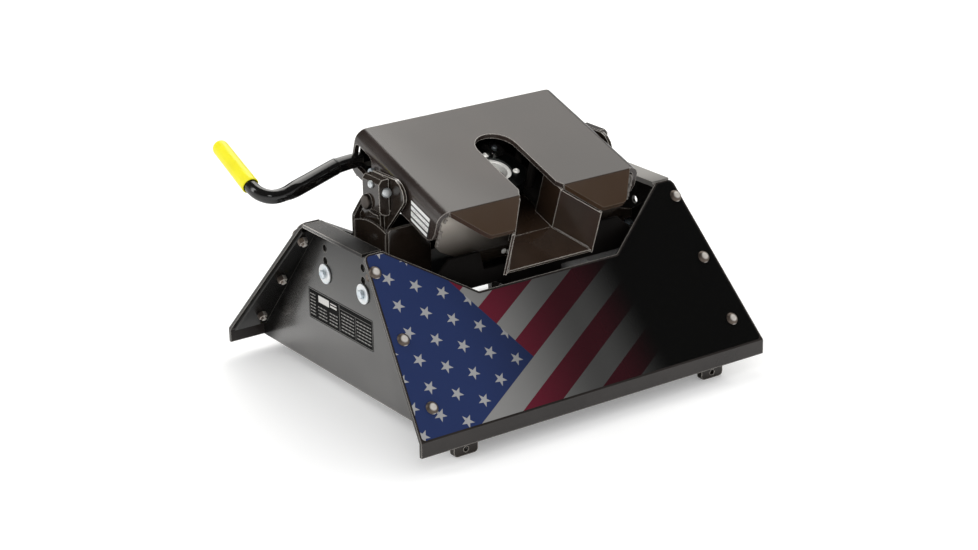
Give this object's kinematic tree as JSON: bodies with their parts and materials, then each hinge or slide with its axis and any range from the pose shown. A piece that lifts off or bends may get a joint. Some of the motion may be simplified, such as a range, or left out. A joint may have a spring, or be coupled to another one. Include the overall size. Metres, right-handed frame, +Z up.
{
  "type": "fifth wheel hitch",
  "caption": "Fifth wheel hitch: sheet-steel rail base, rocking and pitching head plate with a throat, rotating kingpin jaw and a pull handle.",
  "frame": {"origin": "centre of the rear rail seat: the middle of the underside of the rear plate return, between the two rear tabs", "axes": "+X passenger side, +Y towards the cab, +Z up; the handle is on the driver side, -X"},
  "size_m": [0.7696, 0.61, 0.4358],
  "materials": {
    "bright_steel": "polished wear face",
    "grip_vinyl": "dipped yellow vinyl",
    "head_satin": "satin warm grey metallic powder coat",
    "jaw_steel": "machined, oiled",
    "pin_steel": "oiled dark steel",
    "powder_coat_gloss": "gloss dark brown-black powder coat",
    "powder_coat_panel": "gloss powder coat",
    "powder_coat_plate": "gloss powder coat with a printed decal on the rear plate",
    "stainless": "polished stainless",
    "zinc": "bright zinc plate"
  },
  "bodies": {
    "base": {"bolt_front_left_low": "stainless", "bolt_front_left_mid": "stainless", "bolt_front_left_top": "stainless", "bolt_front_right_low": "stainless", "bolt_front_right_mid": "stainless", "bolt_front_right_top": "stainless", "bolt_rear_left_low": "stainless", "bolt_rear_left_mid": "stainless", "bolt_rear_left_top": "stainless", "bolt_rear_right_low": "stainless", "bolt_rear_right_mid": "stainless", "bolt_rear_right_top": "stainless", "cheek_front_left": "powder_coat_gloss", "cheek_front_right": "powder_coat_gloss", "cheek_rear_left": "powder_coat_gloss", "cheek_rear_right": "powder_coat_gloss", "cradle_end_left": "powder_coat_gloss", "cradle_end_right": "powder_coat_gloss", "cradle_trough": "powder_coat_gloss", "front_plate": "powder_coat_plate", "height_bolt_left_front": "zinc", "height_bolt_left_rear": "zinc", "height_bolt_right_front": "zinc", "height_bolt_right_rear": "zinc", "height_washer_left_front": "zinc", "height_washer_left_rear": "zinc", "height_washer_right_front": "zinc", "height_washer_right_rear": "zinc", "rail_tab_front_left": "powder_coat_gloss", "rail_tab_front_right": "powder_coat_gloss", "rail_tab_rear_left": "powder_coat_gloss", "rail_tab_rear_right": "powder_coat_gloss", "rear_plate": "powder_coat_plate", "roll_shaft": "pin_steel", "saddle_left": "powder_coat_gloss", "saddle_right": "powder_coat_gloss", "side_panel_left": "powder_coat_panel", "side_panel_right": "powder_coat_panel"},
    "rocker": {"block_bolt_left": "zinc", "block_bolt_right": "zinc", "keeper_bolt_left": "zinc", "keeper_bolt_right": "zinc", "pitch_pin_left": "pin_steel", "pitch_pin_right": "pin_steel", "pivot_block_left": "powder_coat_gloss", "pivot_block_right": "powder_coat_gloss", "rocker_beam": "powder_coat_gloss"},
    "head": {"belly_pan": "powder_coat_gloss", "handle_guide": "jaw_steel", "head_plate": "head_satin", "jaw_carrier": "jaw_steel", "return_spring": "zinc", "safety_ring": "zinc", "throat_wall_left": "powder_coat_gloss", "throat_wall_right": "powder_coat_gloss"},
    "handle": {"handle_bar": "powder_coat_gloss", "handle_grip": "grip_vinyl"},
    "jaw": {"drive_pin": "zinc", "jaw_insert": "bright_steel", "jaw_ring": "jaw_steel"}
  },
  "joints": [
    {"name": "side_tilt", "type": "hinge", "parent": "base", "child": "rocker", "pos_m": [0, 0.284, 0.232], "axis": [0, 1, 0], "range_deg": [-3.5, 3.5]},
    {"name": "head_pitch", "type": "hinge", "parent": "rocker", "child": "head", "pos_m": [0, 0.297, 0.312], "axis": [1, 0, 0], "range_deg": [-26, 1.5]},
    {"name": "handle_pull", "type": "slide", "parent": "head", "child": "handle", "axis": [-1, 0, 0], "range_m": [0, 0.056]},
    {"name": "jaw_turn", "type": "hinge", "parent": "head", "child": "jaw", "pos_m": [0, 0.2783, 0.31721], "axis": [0, -0.3247, 0.9458], "range_deg": [0, 75.1]}
  ],
  "couplings": [
    {"joint": "jaw_turn", "follows": "handle_pull", "rad_per_m": 23.375}
  ]
}
